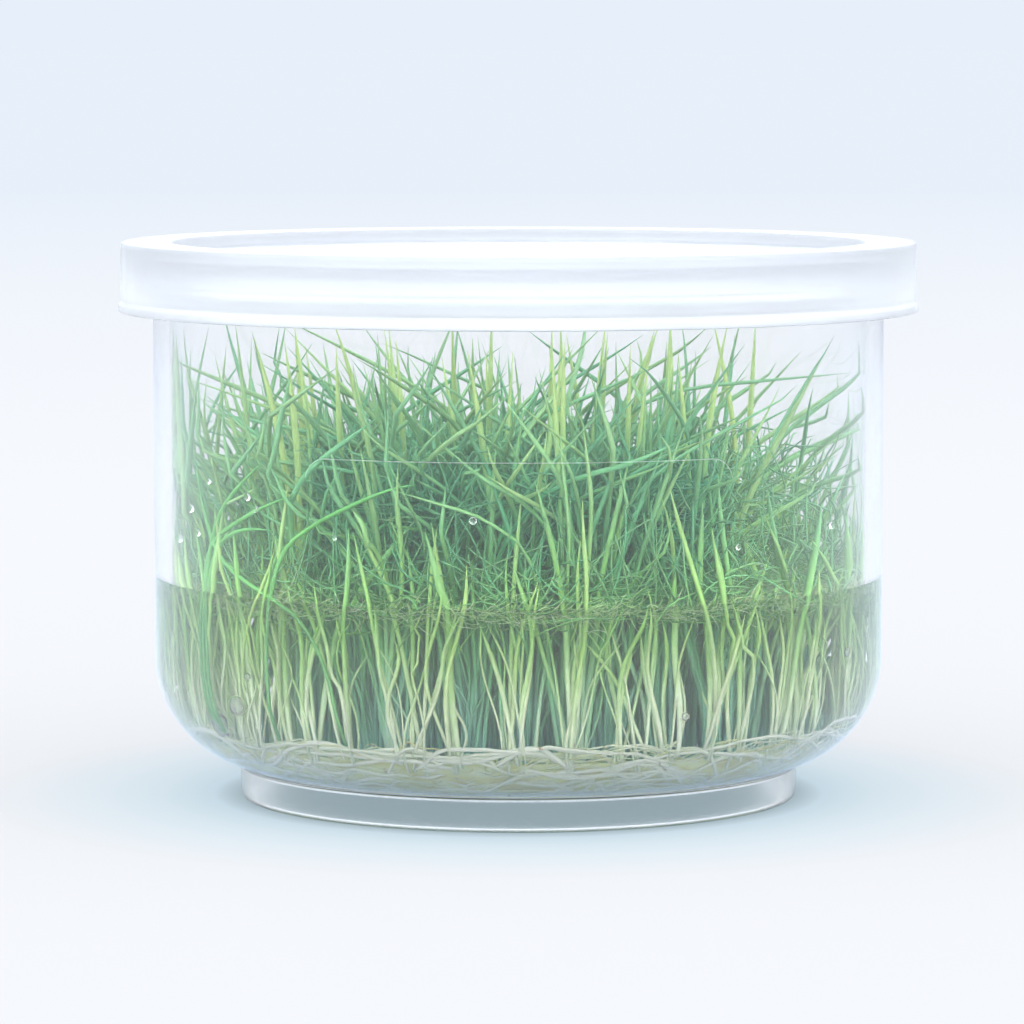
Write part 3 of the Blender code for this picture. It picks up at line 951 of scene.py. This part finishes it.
def leaves():
    """The tufts' leaves and moss, each joined to the tuft that it stands nearest to, and the fringe."""
    rng = random.Random(SEED)
    left = random.Random(SEED + 3)
    names = tuft_names()
    centres = [tuft_centre(name) for name in names]
    grown = {name: [] for name in names}
    moss = {name: [] for name in names}

    def nearest(place):
        return names[min(range(len(names)), key=lambda i: (centres[i] - place).length)]

    for place, mix in clump_places(rng):
        for kind, count in mix:
            stems = [leaf(place, kind, rng) for _ in range(count)]
            kept = [stem for i, stem in enumerate(stems) if i % 3 == 0 or not sparse_right(stem)]
            grown[nearest(place)] += kept
    for i in range(LEFT_LEAVES):
        angle = math.radians(left.uniform(*LEFT_TURNS) - 90)
        place = Vector((math.cos(angle), math.sin(angle))) * left.uniform(*LEFT_RING) * MM
        grown[nearest(place)].append(leaf(place, TALL if i % 3 else SPLAYED, left))
    for points in ARCHES:
        stem = arching_leaf(points, rng)
        grown[nearest(Vector(stem[0][0][:2]))].append(stem)
    for i in range(MOSS + LOW_MOSS):
        strand = moss_strand(rng, *(MIDDLE_GROWTH if i < MOSS else LOW_GROWTH))
        moss[nearest(Vector(strand[0][0][:2]))].append(strand)
    material = leaf_green()
    for name in names:
        groups = [(grown[name], LEAF_SIDES), (moss[name], MOSS_SIDES)]
        mesh = tube_mesh(name + "_leaves", groups, LEAF_VALUES)
        piece(name + "_leaves", mesh, material, [name])
    fibres = [fringe_fibre(rng) for _ in range(FRINGE)]
    mesh = tube_mesh("gel_fringe", [(fibres, FRINGE_SIDES)], LEAF_VALUES)
    piece("gel_fringe", mesh, material)


# The mat of roots and runners
ROOT_POINTS = 19
END_DIVE = 1.6 * MM
DIVE_POINTS = 4
ABOVE_MAT = 0.5 * MM
WALL_DRIFT = (0.0, 0.3)
OFF_WALL_TURN = 0.03
ROOTS = 850
ROOT_SIDES = 4
ROOT_RADIUS = (0.07, 0.15)
ROOT_LENGTH = (9, 22)
ROOT_RING = (33.0, 37.5)
ROOT_REACH = 35.0
ROOT_TAPER = 0.6
ROOT_GAP = 0.45
RUNNERS = 270
RUNNER_SIDES = 6
RUNNER_RADIUS = (0.17, 0.28)
RUNNER_LENGTH = (14, 36)
TOP_RUNNER_LENGTH = (7, 16)
RUNNER_RING = (34.5, 37.5)
RUNNER_REACH = 36.0
RUNNER_TIP = 0.2
RUNNER_PINCH = 0.2
RUNNER_JOINT = 6
RUNNER_GAP = 0.3
BED_STEP = 1.5
BED_STEPS = 24
BED_DEPTH = 1.0 * MM
BED_EDGE = (8.4, 7.8, 7.2, 6.5, 5.8)
BED_UNDERSIDE = (29.0, 20.0, 10.0, 0.0)
BED_GAP = 1.2 * MM
LUMPS = 0.3 * MM
LUMP_LENGTH = 1.6 * MM
FINE_LUMP_LENGTH = 0.7 * MM
PATCH_LENGTH = 2.2 * MM
ROOT_RAMP = (
    (0.0, (0.78, 0.76, 0.40)),
    (0.25, (0.85, 0.90, 0.52)),
    (0.6, (0.91, 1.0, 0.77)),
    (1.0, (0.96, 1.0, 0.93)),
)
SPECK_RAMP = (
    (0.0, WHITE),
    (0.68, (0.97, 0.95, 0.9)),
    (0.76, (0.45, 0.28, 0.14)),
)


def root_cream(name):
    material = principled(name, (0.85, 0.85, 0.7), 0.45, ior=1.4)
    shader_of(material).inputs["Specular IOR Level"].default_value = 0.2
    tone = node(material, "ShaderNodeAttribute", attribute_name="tone")
    ramp = ramp_node(material, ROOT_RAMP)
    link(material, tone.outputs["Fac"], ramp.inputs["Fac"])
    specks = textured(material, scale=1500.0, detail=2.0)
    brown = ramp_node(material, SPECK_RAMP)
    link(material, specks.outputs[0], brown.inputs["Fac"])
    hue = mixed(material, "MULTIPLY", ramp.outputs["Color"], brown.outputs["Color"])
    link(material, hue, shader_of(material).inputs["Base Color"])
    return material


def creeping(rng, radius, start_radius, layer, length, gap):
    """One root or runner that winds over the mat, at a share of the mat's depth, in long easy waves."""
    angle = rng.uniform(0, 2 * math.pi)
    spot = Vector((start_radius * math.cos(angle), start_radius * math.sin(angle)))
    heading = angle + rng.choice((-1, 1)) * rng.uniform(1.0, 2.1)
    step = length / (ROOT_POINTS - 1)
    phase = rng.uniform(0, 2 * math.pi)
    wave = rng.uniform(0.1, 0.7) * MM
    curl = rng.uniform(-0.08, 0.08)
    pace = rng.uniform(0.3, 0.9)
    spots = []
    for i in range(ROOT_POINTS):
        top = mat_height(spot.length)
        height = FLOOR_TOP + radius + (top - FLOOR_TOP) * layer + wave * math.sin(phase + i * pace)
        from_end = min(i, ROOT_POINTS - 1 - i)
        height = min(height, top + ABOVE_MAT) - END_DIVE * smooth(1 - from_end / DIVE_POINTS)
        height = max(height, FLOOR_TOP + radius)
        limit = content_limit(height) - radius - gap * MM
        if spot.length > limit:
            spot = spot.normalized() * (limit - rng.uniform(*WALL_DRIFT) * MM)
            outward = math.atan2(spot.y, spot.x)
            side = 1 if math.sin(heading - outward) > 0 else -1
            heading = outward + side * (math.pi / 2 + OFF_WALL_TURN)
        spots.append((spot.x, spot.y, height))
        heading += curl + rng.uniform(-0.12, 0.12)
        spot = spot + Vector((math.cos(heading), math.sin(heading))) * step
    return spots


def root_bed():
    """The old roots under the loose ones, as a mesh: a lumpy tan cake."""
    across = [i * BED_STEP * MM for i in range(BED_STEPS)]
    profile = [(r, mat_height(r) - BED_DEPTH) for r in across]
    profile += [(content_limit(z * MM) - BED_GAP, z * MM) for z in BED_EDGE]
    profile += [(r * MM, FLOOR_TOP - 2 * SEAT) for r in BED_UNDERSIDE]
    mesh = turned_mesh("root_bed", profile)
    for vert in mesh.vertices:
        if vert.co.z < FLOOR_TOP:
            continue
        lump = noise.noise(vert.co / LUMP_LENGTH) + 0.6 * noise.noise(vert.co / FINE_LUMP_LENGTH)
        vert.co += vert.co.normalized() * lump * LUMPS
    return mesh


def mat():
    """The loose roots with the bed under them, in one mesh."""
    rng = random.Random(SEED + 1)
    tubes = []
    for i in range(ROOTS):
        radius = rng.uniform(*ROOT_RADIUS) * MM
        start = (rng.uniform(*ROOT_RING) if i % 3 else ROOT_REACH * math.sqrt(rng.random())) * MM
        layer = rng.random() if i % 3 else rng.uniform(0.85, 1.05)
        spots = creeping(rng, radius, start, layer, rng.uniform(*ROOT_LENGTH) * MM, ROOT_GAP)
        radii = [radius * (1 - ROOT_TAPER * j / (ROOT_POINTS - 1)) for j in range(ROOT_POINTS)]
        tone = rng.random() * 0.9
        tubes.append((spots, radii, UP, ([tone] * ROOT_POINTS,)))
    mesh = tube_mesh("root_tangle", [(tubes, ROOT_SIDES)], ("tone",))
    built = bmesh.new()
    built.from_mesh(mesh)
    loose = len(built.verts)
    built.from_mesh(root_bed())
    built.verts.ensure_lookup_table()
    tone = built.verts.layers.float["tone"]
    for vert in built.verts[loose:]:
        vert[tone] = 0.32 + 0.8 * noise.noise(vert.co / PATCH_LENGTH)
    built.to_mesh(mesh)
    built.free()
    mesh.shade_smooth()
    piece("root_tangle", mesh, root_cream("root_cream"), ["root_mat"])


def runners():
    """The pale runners. Most lie at any depth in the mat, and every ninth is a short one on top."""
    rng = random.Random(SEED + 2)
    tubes = []
    for i in range(RUNNERS):
        radius = rng.uniform(*RUNNER_RADIUS) * MM
        start = (rng.uniform(*RUNNER_RING) if i % 3 else RUNNER_REACH * math.sqrt(rng.random())) * MM
        layer = rng.uniform(0.0, 0.95) if i % 9 else rng.uniform(0.9, 1.1)
        length = rng.uniform(*(RUNNER_LENGTH if i % 9 else TOP_RUNNER_LENGTH))
        spots = creeping(rng, radius, start, layer, length * MM, RUNNER_GAP)
        radii = [radius * (1.0 - RUNNER_PINCH * (j % RUNNER_JOINT == 2)) for j in range(ROOT_POINTS)]
        radii[0] = radii[-1] = radius * RUNNER_TIP
        tone = rng.uniform(0.8, 1.0)
        tubes.append((spots, radii, UP, ([tone] * ROOT_POINTS,)))
    names = sorted(name for name in frame["nodes"] if name.startswith("runner_"))
    mesh = tube_mesh("runner_stems", [(tubes, RUNNER_SIDES)], ("tone",))
    piece("runner_stems", mesh, root_cream("runner_cream"), names)


# The label
LABEL_LIFT = 0.02 * MM
LABEL_FILM = 0.12 * MM
LABEL_BEVEL = 0.1 * MM
LABEL_STRAIGHT = LABEL_WIDTH / 2 - LABEL_CORNER
LABEL_COLUMNS = 48
LABEL_CORNER_STEP = 10
LABEL_SHARP_ANGLE = math.radians(20)
# The film's top bevel, the only edge that gets the painted highlight
PAINTED_HIGHLIGHT_EDGE = 2


def clear_film():
    """The film is stuck down flat, so its faces hardly gleam apart from the wall's own."""
    material = principled("clear_film", (0.97, 0.985, 1.0), 0.03, ior=1.04, transmission=1.0)
    varied_roughness(material, scale=120.0, low=0.01, high=0.03)
    return material


def painted_highlight_edge():
    """Painted highlight on the film's top cut edge: white and rough, as though lit from above."""
    material = principled("painted_highlight_edge", (0.85, 0.9, 0.93), 0.4, ior=1.1, transmission=0.93)
    varied_roughness(material, scale=300.0, low=0.3, high=0.5)
    return material


def label_columns():
    """How far along the wall, from the label's middle, its rows of points lie."""
    turns = [math.radians(angle) for angle in range(0, 90, LABEL_CORNER_STEP)]
    corner = [LABEL_STRAIGHT + LABEL_CORNER * math.sin(turn) for turn in turns]
    middle = [LABEL_STRAIGHT * (2 * i / LABEL_COLUMNS - 1) for i in range(1, LABEL_COLUMNS)]
    return [-along for along in reversed(corner)] + middle + corner


def label_point(along, up, radius):
    angle = along / CUP_RADIUS - math.pi / 2
    return (radius * math.cos(angle), radius * math.sin(angle), LABEL_MIDDLE + up)


def label_row(along):
    """The film's four points from its lower edge to its upper one: the middle two are on its front."""
    past = max(0.0, abs(along) - LABEL_STRAIGHT)
    reach = LABEL_HEIGHT / 2 - LABEL_CORNER + math.sqrt(LABEL_CORNER**2 - past**2)
    inner = along * (1 - 2 * LABEL_BEVEL / LABEL_WIDTH)
    back = CUP_RADIUS - LABEL_LIFT
    front = back + LABEL_FILM
    return (
        label_point(along, -reach, back),
        label_point(inner, LABEL_BEVEL - reach, front),
        label_point(inner, reach - LABEL_BEVEL, front),
        label_point(along, reach, back),
    )


def label():
    """The bare film on the cup's front, with rounded corners and bevelled edges."""
    built = bmesh.new()
    rows = [[built.verts.new(point) for point in label_row(along)] for along in label_columns()]
    for left, right in zip(rows, rows[1:]):
        for i in range(4):
            beside = (i + 1) % 4
            face = built.faces.new((left[i], left[beside], right[beside], right[i]))
            # Only the top bevel gets the painted highlight
            face.material_index = int(i == PAINTED_HIGHLIGHT_EDGE)
    built.faces.new(rows[0])
    built.faces.new(rows[-1])
    bmesh.ops.recalc_face_normals(built, faces=built.faces)
    mesh = bpy.data.meshes.new("label_film")
    built.to_mesh(mesh)
    built.free()
    mesh.shade_smooth()
    mesh.set_sharp_from_angle(angle=LABEL_SHARP_ANGLE)
    piece("label_film", mesh, clear_film(), ["label"])
    mesh.materials.append(painted_highlight_edge())


# Camera, light and floor
CAMERA_PLACE = (-0.00071, -0.560, 0.0823)
CAMERA_PITCH = math.radians(5.236)
CAMERA_LENS = 179.55
SENSOR = 36.0
HORIZON = (0.80, 0.865, 0.956)
BAND = (1.25, 1.3, 1.36)
OVERHEAD = (1.1, 1.16, 1.23)
KEY = (4.6, 4.6, 4.6)
KEY_DIRECTION = (0.0, -0.985, 0.17)
KEY_EDGE = -0.95
SKY_RAMP = ((0.03, HORIZON), (0.32, BAND), (0.55, BAND), (0.75, OVERHEAD))
KEY_RAMP = ((0.0, BLACK), (0.75, KEY))
FLOOR_COLOUR = (0.075, 0.075, 0.075)
# Painted shadow: the floor's glow, darker and bluer under the cup's foot and at its edge
FLOOR_PAINTED_FOOT_SHADOW = (0.22, 0.30, 0.34)
FLOOR_PAINTED_SHADOW_EDGE = (0.455, 0.585, 0.665)
FLOOR_GLOW = (0.602, 0.620, 0.657)
FLOOR_FAR_GLOW = (0.479, 0.539, 0.624)
FLOOR_SIZE = 60.0
# How far the painted shadow round the foot reaches, in metres from the cup's axis
FLOOR_PAINTED_SHADOW_REACH = (0.029, 0.06)
FLOOR_FAR = (0.35, 2.3)
GLOW_WITH_PAINTED_SHADOW = ((0.0, FLOOR_PAINTED_FOOT_SHADOW), (0.15, FLOOR_PAINTED_SHADOW_EDGE), (1.0, FLOOR_GLOW))


def camera():
    data = bpy.data.cameras.new("camera")
    data.lens = CAMERA_LENS
    data.sensor_width = SENSOR
    obj = bpy.data.objects.new("camera", data)
    obj.location = CAMERA_PLACE
    obj.rotation_euler = (math.pi / 2 - CAMERA_PITCH, 0.0, 0.0)
    bpy.context.scene.collection.objects.link(obj)
    bpy.context.scene.camera = obj


def world():
    """An even studio: pale at the horizon, brighter above, and brightest in front of the cup."""
    made = bpy.data.worlds.new("studio")
    made.use_nodes = True
    place = node(made, "ShaderNodeTexCoord")
    parts = node(made, "ShaderNodeSeparateXYZ")
    sky = ramp_node(made, SKY_RAMP)
    toward = node(made, "ShaderNodeVectorMath", operation="DOT_PRODUCT")
    toward.inputs[1].default_value = KEY_DIRECTION
    wide = node(made, "ShaderNodeMapRange", from_min=KEY_EDGE)
    key = ramp_node(made, KEY_RAMP)
    link(made, place.outputs["Generated"], parts.inputs[0])
    link(made, place.outputs["Generated"], toward.inputs[0])
    link(made, parts.outputs["Z"], sky.inputs["Fac"])
    link(made, toward.outputs["Value"], wide.inputs["Value"])
    link(made, wide.outputs["Result"], key.inputs["Fac"])
    light = mixed(made, "ADD", sky.outputs["Color"], key.outputs["Color"])
    link(made, light, made.node_tree.nodes["Background"].inputs["Color"])
    made.cycles.sampling_method = "NONE"
    bpy.context.scene.world = made


def floor():
    """A wide pale floor that glows a little and turns to the horizon's colour far away."""
    mesh = bpy.data.meshes.new("floor")
    built = bmesh.new()
    bmesh.ops.create_grid(built, x_segments=1, y_segments=1, size=FLOOR_SIZE)
    built.to_mesh(mesh)
    built.free()
    material = principled("floor", FLOOR_COLOUR, 0.9)
    shader = shader_of(material)
    shader.inputs["Specular IOR Level"].default_value = 0.0
    place = node(material, "ShaderNodeTexCoord")
    parts = node(material, "ShaderNodeSeparateXYZ")
    away = node(material, "ShaderNodeMapRange", from_min=FLOOR_FAR[0], from_max=FLOOR_FAR[1])
    far = node(material, "ShaderNodeRGB")
    far.outputs[0].default_value = (*FLOOR_FAR_GLOW, 1.0)
    radius = node(material, "ShaderNodeVectorMath", operation="LENGTH")
    # Painted shadow round the foot: the glow by distance from the cup's axis
    painted_shadow_fade = node(material, "ShaderNodeMapRange", from_min=FLOOR_PAINTED_SHADOW_REACH[0], from_max=FLOOR_PAINTED_SHADOW_REACH[1])
    glow_with_painted_shadow = ramp_node(material, GLOW_WITH_PAINTED_SHADOW)
    link(material, place.outputs["Object"], parts.inputs[0])
    link(material, parts.outputs["Y"], away.inputs["Value"])
    link(material, place.outputs["Object"], radius.inputs[0])
    link(material, radius.outputs["Value"], painted_shadow_fade.inputs["Value"])
    link(material, painted_shadow_fade.outputs["Result"], glow_with_painted_shadow.inputs["Fac"])
    colour = mixed(material, "MIX", glow_with_painted_shadow.outputs["Color"], far.outputs["Color"], away.outputs["Result"])
    link(material, colour, shader.inputs["Emission Color"])
    shader.inputs["Emission Strength"].default_value = 1.0
    material.cycles.emission_sampling = "NONE"
    mesh.materials.append(material)
    obj = bpy.data.objects.new("floor", mesh)
    bpy.context.scene.collection.objects.link(obj)


def look():
    scene = bpy.context.scene
    scene.view_settings.view_transform = "Standard"
    scene.cycles.max_bounces = 24
    scene.cycles.transmission_bounces = 20
    scene.cycles.diffuse_bounces = 8
    scene.cycles.glossy_bounces = 3


cup()
lid()
gel()
drops()
leaves()
mat()
runners()
label()
camera()
world()
floor()
look()
